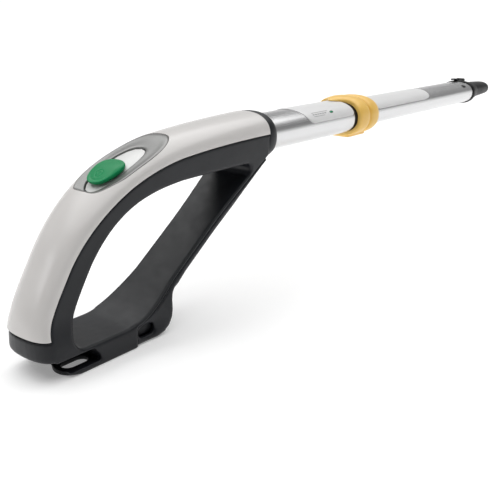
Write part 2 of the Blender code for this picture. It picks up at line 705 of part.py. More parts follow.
def make_tubes():
    outer = pipe("outer_tube", [(OUTER_START, OUTER_A, OUTER_B), (OUTER_END, OUTER_A, OUTER_B)],
                 [(OUTER_START, OUTER_A - TUBE_WALL, OUTER_B - TUBE_WALL),
                  (OUTER_END, OUTER_A - TUBE_WALL, OUTER_B - TUBE_WALL)], ALU)
    for n, x in enumerate(SCREWS_X):
        hole = rod("tube_screw_hole_%d" % n, (x, 0, 100), (x, 0, 112), SCREW_HOLE, None, group=CUTTERS)
        boolean(outer, hole, "DIFFERENCE")
    inner = pipe("inner_tube", [(INNER_START, INNER_A, INNER_B), (INNER_END, INNER_A, INNER_B)],
                 [(INNER_START, INNER_A - TUBE_WALL, INNER_B - TUBE_WALL),
                  (INNER_END, INNER_A - TUBE_WALL, INNER_B - TUBE_WALL)], ALU)
    groove = skin("lock_groove", [[(PIN_X - 4.0 + 86.5 + x, y, z) for x, y in stadium(181.0, 7.0, 6)]
                                  for z in (AXIS_Z - 16.0, AXIS_Z - 8.0)], None, group=CUTTERS)
    boolean(inner, groove, "DIFFERENCE")
    rims = [button_ring(9.8, 5.4, out) for out in (-4.0, 4.0)]
    button_hole = skin("button_hole", rims, None, group=CUTTERS)
    boolean(inner, button_hole, "DIFFERENCE")
    strip("label_panel", PANEL_START, OUTER_END - 0.4, OUTER_A, OUTER_B, LABEL_FILM, PANEL, 13.0, 0.70, 1.0)
    strip("inner_panel", RING_END + 1.5, INLAY_END, INNER_A, INNER_B, PANEL_FILM, PANEL, 16.0, 1.0, 0.72)


def make_rim():
    pipe("tube_rim",
         [(SOCKET_END + GAP, COLLAR_WIDTH - 0.4, 18.0), (SOCKET_END + 1.4, COLLAR_WIDTH, 18.4),
          (RIM_END - 2.4, COLLAR_WIDTH - 0.2, 18.2), (RIM_END - 0.6, COLLAR_WIDTH - 1.0, 17.2),
          (RIM_END, COLLAR_WIDTH - 1.9, 15.9)],
         [(SOCKET_END + GAP, OUTER_A + GAP, OUTER_B + GAP), (RIM_END, OUTER_A + GAP, OUTER_B + GAP)], DARK)


def make_bush_and_collar():
    """Black guide bush on the end of the outer tube, the sprung release collar and the lock pin."""
    bush_a, bush_b = OUTER_A - 0.5, OUTER_B - 0.5
    slide_a, slide_b = INNER_A + SLIDE_ROOM, INNER_B + SLIDE_ROOM
    bush = pipe("guide_bush",
                [(OUTER_END + GAP, bush_a, bush_b), (RING_END - 3.4, bush_a, bush_b)],
                [(OUTER_END + GAP, slide_a, slide_b), (RING_END - 3.4, slide_a, slide_b)], BLACK)
    bore = rod("pin_bore", (PIN_X, 0, 98.0), (PIN_X, 0, 112.0), PIN_BORE, None, group=CUTTERS)
    boolean(bush, bore, "DIFFERENCE")
    bore_a, bore_b = OUTER_A - 0.2, OUTER_B - 0.2
    lip_a, lip_b = INNER_A + 0.7, INNER_B + 0.7
    collar = pipe("release_collar",
                  [(RING_START, 24.0, 16.4), (RING_START + 1.2, 24.9, 17.3), (RING_START + 7.0, 25.2, 17.6),
                   (RING_START + 15.6, 24.8, 17.2), (RING_START + 16.6, 23.6, 16.0),
                   (RING_START + 18.6, 23.6, 16.0), (RING_START + 19.6, 24.6, 17.0),
                   (RING_START + 27.0, 24.8, 17.1), (RING_END - 2.6, 24.2, 16.5),
                   (RING_END - 0.6, 23.2, 15.5), (RING_END, 22.4, 14.9)],
                  [(RING_START, bore_a, bore_b), (RING_END - 2.2, bore_a, bore_b),
                   (RING_END - 2.0, lip_a + 0.5, lip_b + 0.5), (RING_END, lip_a + 0.5, lip_b + 0.5)], YELLOW)
    lug = box("collar_lug", (RING_START + 2.0, -11.0, AXIS_Z - 18.4), (RING_END - 3.0, 11.0, AXIS_Z - 14.2),
              None, bevel=1.4, group=CUTTERS)
    boolean(collar, lug, "UNION")
    tongue = skin("collar_tongue",
                  [[(x, y * w, AXIS_Z + z) for y, z in ((-1, lo), (1, lo), (1, hi), (-1, hi))]
                   for x, w, lo, hi in ((RING_START - 13.0, 3.5, OUTER_B + 1.15, OUTER_B + 1.9),
                                        (RING_START - 4.0, 9.0, OUTER_B + 1.15, OUTER_B + 2.4),
                                        (RING_START + 4.0, 11.0, OUTER_B + 0.6, OUTER_B + 3.4))],
                  None, group=CUTTERS)
    boolean(collar, tongue, "UNION")
    pocket = box("pin_pocket", (PIN_X - 9.0, -3.4, AXIS_Z - PIN_POCKET), (PIN_X + 5.0, 3.4, AXIS_Z - 9.0),
                 None, group=CUTTERS)
    boolean(collar, pocket, "DIFFERENCE")
    pin_top = AXIS_Z - INNER_B + PIN_CATCH
    pin = rod("lock_pin", (PIN_X, 0, pin_top - PIN_LENGTH), (PIN_X, 0, pin_top), PIN_RADIUS, STEEL)
    set_origin(pin, (PIN_X, 0, pin_top - PIN_LENGTH / 2.0))


def helix(start_x, stop_x, turns, radius_y, radius_z, per_turn=10):
    """Coiled lead along X inside an oval."""
    points = []
    total = turns * per_turn
    for i in range(total + 1):
        a = 2.0 * math.pi * i / per_turn
        points.append((start_x + (stop_x - start_x) * i / total,
                       radius_y * math.cos(a), AXIS_Z + radius_z * math.sin(a)))
    return points


def smooth_route(knots, per_span=6):
    """Catmull-Rom points through a short list of route points."""
    pts = [Vector(k) for k in knots]
    pts = [pts[0] * 2 - pts[1]] + pts + [pts[-1] * 2 - pts[-2]]
    route = []
    for i in range(1, len(pts) - 2):
        a, b, c, d = pts[i - 1:i + 3]
        for k in range(per_span):
            t = k / per_span
            route.append(0.5 * ((2 * b) + (c - a) * t + (2 * a - 5 * b + 4 * c - d) * t * t
                                + (3 * b - a - 3 * c + d) * t ** 3))
    route.append(pts[-2])
    return route


def make_wiring():
    inlet_knots = [(-45.2, 0.0, 30.6), (-43.0, 0.0, 42.0), (-33.0, 2.0, 60.0),
                   (-19.0, 4.0, 78.0), (-7.5, 4.0, 89.0), (-3.0, 4.0, 93.0)]
    wire("inlet_lead", smooth_route(inlet_knots), LEAD_RADIUS, BLACK)
    wire("tube_lead", smooth_route([(40.5, 4.0, 111.0), (52.0, 4.0, 113.6), (70.0, 3.0, 116.6),
                                    (92.0, 4.0, 119.4), (114.0, 7.0, 120.4)]), LEAD_RADIUS, BLACK)
    wire("coiled_lead", helix(118.0, 236.0, 14, 7.6, 5.2), COIL_LEAD_RADIUS, BLACK)


def make_inlet():
    """Two-pole mains inlet in the butt, facing down."""
    body = box("mains_inlet", (-55.9, -10.4, BUTT_LOW + 1.5), (-40.4, 10.4, 29.5), BLACK, bevel=0.8)
    socket = box("inlet_socket", (-53.4, -7.9, 10.0), (-42.9, 7.9, 25.5), None, group=CUTTERS)
    boolean(body, socket, "DIFFERENCE")
    for y, label in ((INLET_PITCH, "left"), (-INLET_PITCH, "right")):
        seat = rod("pin_seat_" + label, (INLET_X, y, 24.0), (INLET_X, y, 32.0), 1.5, None, group=CUTTERS)
        boolean(body, seat, "DIFFERENCE")
        rod("inlet_pin_" + label, (INLET_X, y, BUTT_LOW + 3.5), (INLET_X, y, 31.5), 1.2, BRASS)


def make_plug():
    """End plug of the inner tube: insert, shaped nose, three contacts, side lugs and a latch button."""
    fit_a, fit_b = INNER_A - TUBE_WALL - GAP, INNER_B - TUBE_WALL - GAP
    plug = skin("plug_body", tube_rings(
        [(INNER_END - 30.0, fit_a, fit_b), (INNER_END + GAP, fit_a, fit_b),
         (INNER_END + GAP + 0.1, INNER_A + 0.9, INNER_B + 0.9),
         (INNER_END + 5.0, INNER_A + 1.1, INNER_B + 1.1),
         (INNER_END + 6.5, INNER_A - 0.6, INNER_B - 0.4), (INNER_END + 16.0, INNER_A - 2.2, INNER_B - 1.0),
         (INNER_END + 23.0, INNER_A - 3.6, INNER_B - 1.6), (INNER_END + 26.0, INNER_A - 5.6, INNER_B - 2.9),
         (INNER_END + 46.0, INNER_A - 6.4, INNER_B - 3.5), (PLUG_END - 3.0, INNER_A - 7.4, INNER_B - 4.5),
         (PLUG_END, INNER_A - 9.6, INNER_B - 6.4)], 32), BLACK)
    contacts = ((-CONTACT_PITCH, "right"), (0.0, "middle"), (CONTACT_PITCH, "left"))
    for y, label in contacts:
        hole = rod("contact_hole_" + label, (PLUG_END - 18.0, y, AXIS_Z), (PLUG_END + 6.0, y, AXIS_Z), 1.5,
                   None, group=CUTTERS)
        boolean(plug, hole, "DIFFERENCE")
    well = skin("button_well", [button_ring(15.0, 8.4, out) for out in (-9.0, 6.0)], None, group=CUTTERS)
    boolean(plug, well, "DIFFERENCE")
    for y, label in contacts:
        rod("contact_" + label, (PLUG_END - 17.0, y, AXIS_Z), (PLUG_END - 3.0, y, AXIS_Z), 1.15, BRASS)
    crest = ((-2.0, 3.0, 13.4, 15.0), (6.6, 3.2, 13.4, 14.7), (8.4, 3.4, 11.9, 13.8), (14.0, 3.8, 11.5, 13.4),
             (17.5, 4.0, 11.2, 14.4), (22.0, 4.0, 10.7, 13.8), (25.0, 3.0, 9.9, 11.4))
    rings = []
    for x, w, lo, hi in crest:
        corners = ((-w, lo), (w, lo), (w, hi), (-w, hi))
        rings.append([(INNER_END + x, CREST_Y + y, AXIS_Z + z) for y, z in corners])
    skin("latch_arm", rings, BLACK)
    profile = ((-6.2, 13.4, 7.0), (-2.6, 13.4, 7.0), (-2.5, 9.0, 4.6), (-0.2, 9.0, 4.6), (0.1, 8.2, 3.8))
    button = skin("latch_button", [button_ring(length, width, out) for out, length, width in profile], BLACK)
    set_origin(button, BUTTON_AT)


def make_screws():
    """Screws that hold the tube, up through the grip's floor."""
    low = AXIS_Z - OUTER_B
    for n, x in enumerate(SCREWS_X):
        rod("tube_screw_%d" % (n + 1), (x, 0.0, low - 1.4), (x, 0.0, low + TUBE_WALL + GAP),
            SCREW_RADIUS, STEEL)


make_frame()
make_top_cover()
make_bezel()
make_slide_track()
make_switch()
make_front_cover()
make_hook_core()
make_rim()
make_tubes()
make_bush_and_collar()
make_inlet()
make_wiring()
make_plug()
make_screws()
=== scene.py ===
"""Looks of the telescopic cleaner handle: finer shells, procedural materials, studio light and camera.

Lengths are millimetres in the shape code, in the same frame as the CAD, and become metres when a
mesh is made. +X runs along the tubes to the plug, +Y is the left side and +Z is up.
"""
import math

import bmesh
import bpy
from mathutils import Matrix, Vector
from mathutils.geometry import interpolate_bezier


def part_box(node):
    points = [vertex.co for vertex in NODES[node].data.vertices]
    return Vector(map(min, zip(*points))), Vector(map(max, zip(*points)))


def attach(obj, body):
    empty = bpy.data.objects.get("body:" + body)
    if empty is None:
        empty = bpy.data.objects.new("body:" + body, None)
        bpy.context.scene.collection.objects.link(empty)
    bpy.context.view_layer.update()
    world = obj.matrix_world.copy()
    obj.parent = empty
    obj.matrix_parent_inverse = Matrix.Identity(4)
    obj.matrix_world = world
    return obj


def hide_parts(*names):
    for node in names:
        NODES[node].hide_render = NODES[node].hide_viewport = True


MM = 0.001

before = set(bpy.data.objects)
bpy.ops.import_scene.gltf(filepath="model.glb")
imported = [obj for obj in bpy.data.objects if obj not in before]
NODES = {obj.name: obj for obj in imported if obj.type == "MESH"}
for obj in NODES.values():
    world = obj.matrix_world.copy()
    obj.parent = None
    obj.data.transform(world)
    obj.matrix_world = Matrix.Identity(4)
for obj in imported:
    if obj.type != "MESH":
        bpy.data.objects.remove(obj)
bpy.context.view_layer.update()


def node_box(name):
    """Lowest and highest corner of a CAD node in millimetres."""
    low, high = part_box(name)
    return low / MM, high / MM


# ---- driving dimensions, in millimetres, read off the frame where it has them ---------------
OUTER_LOW, OUTER_HIGH = node_box("outer_tube")
INNER_LOW, INNER_HIGH = node_box("inner_tube")
RIM_LOW, RIM_HIGH = node_box("tube_rim")
PANEL_LOW, PANEL_HIGH = node_box("label_panel")
INLAY_LOW, INLAY_HIGH = node_box("inner_panel")
BUSH_LOW, BUSH_HIGH = node_box("guide_bush")
PIN_LOW, PIN_HIGH = node_box("lock_pin")
AXIS_Z = (OUTER_LOW.z + OUTER_HIGH.z) / 2.0
OUTER_A = OUTER_HIGH.y
OUTER_B = (OUTER_HIGH.z - OUTER_LOW.z) / 2.0
INNER_A = INNER_HIGH.y
INNER_B = (INNER_HIGH.z - INNER_LOW.z) / 2.0
TUBE_POWER = 2.3
TUBE_WALL = 1.3
GAP = 0.3
FOOT_WIDTH, GRIP_WIDTH, COLLAR_WIDTH = 22.5, 18.5, 24.0
SOCKET_END = 150.0
VOXEL = 0.65    # grain of the remeshed large shells
SMOOTH_FACTOR = 0.5
SHARP = 34.0                   # degrees; edges flatter than this are shaded smooth

# Side-view knots of the grip's seam: (point, handle towards the butt, handle towards the tube)
GRIP_SEAM = [
    ((-51.6, 27.5), (-51.6, 27.5), (-51.6, 38.5)),
    ((-33.5, 65.0), (-40.9, 53.1), (-24.2, 79.9)),
    ((4.0, 102.0), (-10.9, 92.9), (20.2, 111.9)),
    ((58.0, 119.7), (39.2, 117.2), (88.0, 122.6)),
    ((SOCKET_END, 123.4), (120.0, 123.4), (SOCKET_END, 123.4)),
]
CROWN_HEIGHTS = (9.0, 9.5, 9.6, 12.8, 15.4)
KNOT_STEPS = 9                 # CAD stations between two knots; a station here may be a fraction
LAST_STATION = KNOT_STEPS * (len(GRIP_SEAM) - 1)
FINE = 6                       # rings between two stations
COVER_SIDE, COVER_CROWN = 0.86, 0.90   # powers that square the cover's section
COVER_ROOM = 0.1               # cover's edge inside the grip's side
COVER_WALL = 2.2
COVER_COUNT = 52               # points over the crown
BUTT_EDGE = [(0.0, 0.55), (0.05, 0.22), (0.11, 0.06), (0.17, 0.0)]    # rounding, by station


# ---- mesh helpers -----------------------------------------------------------------------------
def make_object(name, bm, sharp=SHARP):
    """Object in metres from a bmesh in millimetres, smooth-shaded but for its sharp edges."""
    bmesh.ops.recalc_face_normals(bm, faces=bm.faces)
    bmesh.ops.scale(bm, vec=(MM, MM, MM), verts=bm.verts)
    mesh = bpy.data.meshes.new(name)
    bm.to_mesh(mesh)
    bm.free()
    mesh.shade_smooth()
    mesh.set_sharp_from_angle(angle=math.radians(sharp))
    obj = bpy.data.objects.new(name, mesh)
    bpy.context.scene.collection.objects.link(obj)
    return obj


def skin(name, rings, closed=False, sharp=SHARP):
    """Solid through a row of closed loops with equal numbers of points."""
    bm = bmesh.new()
    rows = [[bm.verts.new(p) for p in ring] for ring in rings]
    pairs = list(zip(rows, rows[1:]))
    if closed:
        pairs.append((rows[-1], rows[0]))
    for one, two in pairs:
        size = len(one)
        for i in range(size):
            j = (i + 1) % size
            bm.faces.new((one[i], one[j], two[j], two[i]))
    if not closed:
        bm.faces.new(rows[0])
        bm.faces.new(list(reversed(rows[-1])))
    return make_object(name, bm, sharp)


def bake(obj):
    """Applies the object's modifiers to its mesh."""
    bpy.context.view_layer.update()
    ready = obj.evaluated_get(bpy.context.evaluated_depsgraph_get())
    mesh = bpy.data.meshes.new_from_object(ready)
    obj.modifiers.clear()
    obj.data = mesh
    return obj


def cut(obj, cutter, operation="DIFFERENCE"):
    """Exact Boolean with a helper object, which is then removed."""
    mod = obj.modifiers.new("cut", "BOOLEAN")
    mod.operation = operation
    mod.object = cutter
    mod.solver = "EXACT"
    bake(obj)
    bpy.data.objects.remove(cutter, do_unlink=True)
    return obj


def reshade(obj, angle):
    """Smooth shading again after a cut, sharp above the angle."""
    obj.data.shade_smooth()
    obj.data.set_sharp_from_angle(angle=math.radians(angle))
    return obj


def soften(node, name, voxel, rounds):
    """Finer copy of a CAD node with its facets and edges rounded over."""
    mesh = NODES[node].data.copy()
    mesh.materials.clear()
    bm = bmesh.new()
    bm.from_mesh(mesh)
    bmesh.ops.remove_doubles(bm, verts=bm.verts, dist=0.00001)
    bm.to_mesh(mesh)
    bm.free()
    obj = bpy.data.objects.new(name, mesh)
    bpy.context.scene.collection.objects.link(obj)
    remesh = obj.modifiers.new("remesh", "REMESH")
    remesh.mode = "VOXEL"
    remesh.voxel_size = voxel * MM
    remesh.use_smooth_shade = True
    smooth = obj.modifiers.new("smooth", "SMOOTH")
    smooth.factor = SMOOTH_FACTOR
    smooth.iterations = rounds
    bake(obj)
    obj.data.shade_smooth()
    return obj


# ---- side-view curves -------------------------------------------------------------------------
def bent(value, power):
    """Power of a number's size with its sign kept, which squares or rounds an outline."""
    return math.copysign(abs(value) ** power, value)


def blend(knots, x):
    """Smooth value between sorted (position, value) knots."""
    if x <= knots[0][0]:
        return knots[0][1]
    for (x0, v0), (x1, v1) in zip(knots, knots[1:]):
        if x <= x1:
            t = (x - x0) / (x1 - x0)
            return v0 + (v1 - v0) * t * t * (3.0 - 2.0 * t)
    return knots[-1][1]


def half_width(z):
    """The handle is waisted: wide at the foot, slim at the hand, wide at the socket."""
    return blend([(16.0, FOOT_WIDTH), (40.0, GRIP_WIDTH), (62.0, GRIP_WIDTH), (124.0, COLLAR_WIDTH)], z)


def seam_chain():
    """Fine points along the seam's Bezier curves."""
    points = []
    for (p0, _, h0), (p1, h1, _) in zip(GRIP_SEAM, GRIP_SEAM[1:]):
        corners = (Vector((p[0], p[1], 0)) for p in (p0, h0, h1, p1))
        points += [v.to_2d() for v in interpolate_bezier(*corners, KNOT_STEPS * FINE + 1)[:-1]]
    points.append(Vector(GRIP_SEAM[-1][0]))
    return points


SEAM = seam_chain()


def seam_at(s):
    """Seam point and outward normal at station s."""
    f = min(max(s, 0.0), LAST_STATION) * FINE
    i = min(int(f), len(SEAM) - 2)
    f -= i
    before, after = SEAM[max(i - FINE, 0)], SEAM[min(i + 1, len(SEAM) - 1)]
    later = SEAM[min(i + FINE + 1, len(SEAM) - 1)]
    here = SEAM[i] * (1 - f) + after * f
    t = (later - before).normalized()
    return here, Vector((-t.y, t.x))


def crown_at(s):
    """Cover's height over the seam at station s."""
    knot = min(int(s / KNOT_STEPS), len(CROWN_HEIGHTS) - 2)
    f = s / KNOT_STEPS - knot
    return CROWN_HEIGHTS[knot] * (1 - f) + CROWN_HEIGHTS[knot + 1] * f


def cover_ring(s, inset, count):
    """Half loop of the cover at one station, from the right edge over the crown to the left."""
    here, normal = seam_at(s)
    base = here + normal * GAP
    width = half_width(here.y) - COVER_ROOM - inset
    height = crown_at(s) - inset
    loop = []
    for k in range(count + 1):
        a = math.pi * k / count
        c, sn = math.cos(a), math.sin(a)
        y = -width * bent(c, COVER_SIDE)
        p = base + normal * (height * abs(sn) ** COVER_CROWN)
        loop.append(Vector((p.x, y, p.y)))
    return loop


def on_cover(s, y, depth):
    """Point under the cover's outer surface at station s."""
    here, normal = seam_at(s)
    base = here + normal * GAP
    width = half_width(base.y) - COVER_ROOM
    c = min(abs(y) / width, 0.999) ** (1 / COVER_SIDE)
    rise = crown_at(s) * math.sqrt(1.0 - c * c) ** COVER_CROWN
    p = base + normal * (rise - depth)
    return Vector((p.x, y, p.y))


# ---- white cover and bezel ----------------------------------------------------------------------
BEZEL_MID, BEZEL_HALF = 22.2, 5.25
SLOT_MID, SLOT_HALF = 21.2, 3.80
SLOT_WIDTH = 11.8
BEZEL_DEPTH = 4.0
BEZEL_WIDTHS = [(BEZEL_MID - BEZEL_HALF, 16.8), (BEZEL_MID - 2.0, 19.6), (BEZEL_MID + BEZEL_HALF, 19.8)]
STATION_PITCH = 7.0            # millimetres that one station counts for when an outline grows
END_POWER, SLOT_POWER = 0.9, 0.85
HOLE_GROW = 0.25               # the cover's opening over the bezel's outline
HOLE_DEPTHS = (-5.0, 2.6, 9.0)
EDGE_RADIUS, EDGE_ANGLE = 0.35, 50
COVER_SHARP = 40
EDGE = 150                     # points round the bezel and the opening


def bezel_outline(k, count, grow=0.0):
    """Station and side offset round the bezel: square-ended near the butt, round towards the tube."""
    a = 2.0 * math.pi * k / count
    c, sn = math.cos(a), math.sin(a)
    power = 0.51 - 0.11 * math.tanh(-c * 6.0)
    s = BEZEL_MID + (BEZEL_HALF + grow / STATION_PITCH) * bent(c, END_POWER)
    return s, (blend(BEZEL_WIDTHS, s) + grow) * bent(sn, power)


def slot_outline(k, count):
    """Station and side offset round the opening that the knob slides in."""
    a = 2.0 * math.pi * k / count
    c, sn = math.cos(a), math.sin(a)
    return SLOT_MID + SLOT_HALF * bent(c, END_POWER), SLOT_WIDTH * bent(sn, SLOT_POWER)


def make_cover():
    """Gloss shell of the grip with rounded free edges and the opening for the bezel."""
    stations = [i / FINE for i in range(LAST_STATION * FINE + 1)]
    stations[1:1] = [station for station, _ in BUTT_EDGE[1:3]]
    rings = []
    for s in stations:
        outer = cover_ring(s, blend(BUTT_EDGE, s), COVER_COUNT)
        rings.append(outer + list(reversed(cover_ring(s, COVER_WALL, COVER_COUNT))))
    cover = skin("grip_cover", rings)
    hole = [[on_cover(*bezel_outline(k, EDGE, HOLE_GROW), depth) for k in range(EDGE)]
            for depth in HOLE_DEPTHS]
    cut(cover, skin("hole", hole))
    soft = cover.modifiers.new("edge", "BEVEL")
    soft.width = EDGE_RADIUS * MM
    soft.segments = 2
    soft.limit_method = "ANGLE"
    soft.angle_limit = math.radians(EDGE_ANGLE)
    bake(cover)
    return reshade(cover, COVER_SHARP)


def make_bezel():
    """Dished ring between the cover and the opening; each section is (share inwards, depth)."""
    sections = ((0.0, 2.4), (0.0, 0.75), (0.012, 0.42), (0.035, 0.2), (0.07, 0.12), (0.12, 0.25),
                (0.20, 0.62), (0.30, 1.12), (0.42, 1.65), (0.56, 2.12), (0.70, 2.5), (0.83, 2.78),
                (0.92, 2.98), (0.97, 3.2), (0.995, 3.55), (1.0, BEZEL_DEPTH),
                (1.0, BEZEL_DEPTH + 1.8), (0.55, BEZEL_DEPTH + 0.8), (0.2, 2.6))
    rings = []
    for k in range(EDGE):
        s0, y0 = bezel_outline(k, EDGE)
        s1, y1 = slot_outline(k, EDGE)
        rings.append([on_cover(s0 + (s1 - s0) * share, y0 + (y1 - y0) * share, depth)
                      for share, depth in sections])
    return skin("bezel_ring", rings, closed=True, sharp=60)


# ---- sliding knob --------------------------------------------------------------------------------
SLIDE = Vector((0.908, 0.0, 0.419)).normalized()
LIFT = Vector((-SLIDE.z, 0.0, SLIDE.x))
KNOB_AT = on_cover(20.1, 0.0, 1.6)
KNOB_A, KNOB_B, KNOB_POWER = 12.6, 11.4, 2.4
KNOB_TAPER = 0.010             # widening towards the tube, per millimetre
KNOB_COUNT = 96
KNOB_TOP, KNOB_DOME = 1.5, 0.42
KNOB_SHARP = 50
STEM_BACK = 6.0
RIDGE_AT, RIDGE_SOFT = 2.0, 1.2
MARK_AT, MARK_RADIUS, MARK_LINE, MARK_DEPTH = -4.6, 2.9, 0.42, 0.22


def slide_point(along, side, up):
    """Point in the knob's own directions: along its slide, sideways and out of the cover."""
    return KNOB_AT + SLIDE * along + Vector((0.0, side, 0.0)) + LIFT * up


def superellipse(a, b, power, count):
    """Loop between an ellipse (power 2) and a rectangle."""
    loop = []
    for i in range(count):
        t = 2.0 * math.pi * i / count
        loop.append((a * bent(math.cos(t), 2.0 / power), b * bent(math.sin(t), 2.0 / power)))
    return loop


def knob_loop(scale):
    """Scaled outline of the knob, a little wider towards the tube."""
    loop = superellipse(KNOB_A * scale, KNOB_B * scale, KNOB_POWER, KNOB_COUNT)
    return [(x, y * (1.0 + KNOB_TAPER * x)) for x, y in loop]


def make_knob():
    """Green thumb knob with a cross ridge and a sunk ring-and-bar mark on its lower half."""
    rings = []
    levels = ((-2.3, 0.93, 0.0), (-2.1, 0.965, 0.0), (-1.6, 0.99, 0.0), (-0.6, 1.0, 0.0),
              (0.2, 0.985, 0.12), (0.75, 0.955, 0.35), (1.15, 0.90, 0.62), (1.45, 0.82, 0.82))
    for up, scale, tilt in levels:
        rings.append([slide_point(x, y, up - knob_fall(x) * tilt) for x, y in knob_loop(scale)])
    last_scale = levels[-1][1]
    for step in range(20, 0, -1):
        scale = step / 25
        up = KNOB_TOP + KNOB_DOME * (1.0 - (scale / last_scale) ** 2)
        rings.append([slide_point(x, y, up - knob_fall(x) - knob_mark(x, y))
                      for x, y in knob_loop(scale)])
    knob = skin("thumb_knob", rings, sharp=KNOB_SHARP)
    stem = [[slide_point(x - STEM_BACK, y, up) for x, y in superellipse(3.0, 2.3, 2.6, 32)]
            for up in (-8.9, -1.2)]
    cut(knob, skin("stem", stem), "UNION")
    return reshade(knob, KNOB_SHARP)


def knob_fall(x):
    """The top falls away on both sides of a soft cross ridge."""
    d = math.sqrt((x - RIDGE_AT) ** 2 + RIDGE_SOFT) - math.sqrt(RIDGE_SOFT)
    return 1.5 * (d / 10.0) ** 1.25


def knob_mark(x, y):
    """Depth of the sunk mark: a ring with an upright bar."""
    along = x - MARK_AT
    ring = math.exp(-((math.hypot(along, y) - MARK_RADIUS) / MARK_LINE) ** 4)
    bar = math.exp(-(y / MARK_LINE) ** 4) * (1.0 if abs(along) < 2.0 else 0.0)
    return MARK_DEPTH * max(ring, bar)


# ---- oval tubes ------------------------------------------------------------------------------------
AROUND = 96                    # points round a tube
END_BREAK = 0.25               # broken edge at a tube's ends
TUBE_STEPS = 24


def oval(x, a, b):
    """Loop round the tubes' axis at x."""
    return [Vector((x, y, AXIS_Z + z)) for y, z in superellipse(a, b, TUBE_POWER, AROUND)]


def pipe(name, outside, inside):
    """Hollow oval piece: outside stations in order, then inside stations back again."""
    rings = [oval(*station) for station in outside]
    rings += [oval(*station) for station in reversed(inside)]
    return skin(name, rings, closed=True)


def spread(x0, x1, steps):
    """Evenly spaced values with both ends."""
    return [x0 + (x1 - x0) * i / steps for i in range(steps + 1)]


def make_tube(name, x0, x1, a, b):
    """Extruded oval tube with broken end edges."""
    outside = [(x0, a - END_BREAK, b - END_BREAK)]
    outside += [(x, a, b) for x in spread(x0 + END_BREAK, x1 - END_BREAK, TUBE_STEPS)]
    outside.append((x1, a - END_BREAK, b - END_BREAK))
    inside = [(x, a - TUBE_WALL, b - TUBE_WALL) for x in (x0, x1)]
    return pipe(name, outside, inside)


def on_oval(a, b, t):
    """Cross-section point of an oval tube at angle t, in radians."""
    return a * bent(math.cos(t), 2 / TUBE_POWER), b * bent(math.sin(t), 2 / TUBE_POWER)


PANEL_STEPS, PANEL_COUNT = 40, 44      # rings along a panel, and points across it
PANEL_ARC = 50.0               # nominal millimetres across, for the border's width
PANEL_BORDER, PANEL_ROUND = 0.7, 0.55
PANEL_LIFT, PANEL_GLUE = 0.3, 0.03


def wrapped(name, x0, x1, a, b, thick, low, start, end, corner):
    """Panel over a tube, from low degrees up on one side to the same on the other.

    start and end slant its ends and corner rounds them.
    """
    rings = []
    for i in range(PANEL_STEPS + 1):
        u = i / PANEL_STEPS
        loop = []
        for k in range(PANEL_COUNT + 1):
            v = k / PANEL_COUNT
            side = 2.0 * v - 1.0
            shift0 = start * side * side + end_round(side, corner)
            shift1 = -end * side * side - end_round(side, corner)
            x = x0 + shift0 + (x1 + shift1 - x0 - shift0) * u
            t = math.radians(low + (180.0 - 2.0 * low) * v)
            border = min(min(u, 1.0 - u) * (x1 - x0), min(v, 1.0 - v) * PANEL_ARC)
            round_off = thick * PANEL_ROUND * max(0.0, 1.0 - border / PANEL_BORDER)
            y, z = on_oval(a + GAP * PANEL_LIFT + thick - round_off,
                           b + GAP * PANEL_LIFT + thick - round_off, t)
            loop.append(Vector((x, y, AXIS_Z + z)))
        for k in range(PANEL_COUNT, -1, -1):
            v = k / PANEL_COUNT
            t = math.radians(low + (180.0 - 2.0 * low) * v)
            y, z = on_oval(a + PANEL_GLUE, b + PANEL_GLUE, t)
            loop.append(Vector((loop[k].x, y, AXIS_Z + z)))
        rings.append(loop)
    return skin(name, rings, sharp=50)


CORNER_FROM, CORNER_SPAN = 0.80, 0.20


def end_round(side, corner):
    """Extra setback of a panel's end near its two long edges, which rounds the corners."""
    reach = max(0.0, abs(side) - CORNER_FROM) / CORNER_SPAN
    return corner * (1.0 - math.sqrt(max(0.0, 1.0 - reach * reach)))


GROOVE_START, GROOVE_END, GROOVE_R = 288.5, 462.5, 3.5   # centres of the groove's round ends
GROOVE_DROPS = (16.0, 8.0)     # cutter's two ends under the axis
GROOVE_STEPS = 12


def slotted_inner_tube():
    """Inner tube with the groove that the lock pin runs in."""
    tube = make_tube("inner_profile", INNER_LOW.x, INNER_HIGH.x, INNER_A, INNER_B)
    groove = []
    for drop in GROOVE_DROPS:
        ring = []
        for centre, start in ((GROOVE_END, -90.0), (GROOVE_START, 90.0)):
            for turn in spread(start, start + 180.0, GROOVE_STEPS):
                a = math.radians(turn)
                ring.append(Vector((centre + GROOVE_R * math.cos(a), GROOVE_R * math.sin(a), AXIS_Z - drop)))
        groove.append(ring)
    cut(tube, skin("groove", groove))
    return reshade(tube, SHARP)


def make_rim():
    """Dark rim at the mouth of the grip's socket."""
    x0, x1 = RIM_LOW.x, RIM_HIGH.x
    bore_a, bore_b = OUTER_A + GAP, OUTER_B + GAP
    return pipe("socket_rim",
                [(x0, 23.5, 17.9), (x0 + 0.3, 23.8, 18.2), (x0 + 1.2, 24.0, 18.4), (x0 + 4.0, 24.0, 18.4),
                 (x1 - 2.6, 23.8, 18.2), (x1 - 1.2, 23.3, 17.7), (x1 - 0.4, 22.8, 17.0), (x1, 22.2, 16.2)],
                [(x0, bore_a, bore_b), (x1 - 0.3, bore_a, bore_b), (x1, bore_a + 0.3, bore_b + 0.3)])


# ---- bush, and what is on the label ------------------------------------------------------------------
BUSH_ROOM = 0.85               # running room over the inner tube
BUSH_EDGE = 0.2


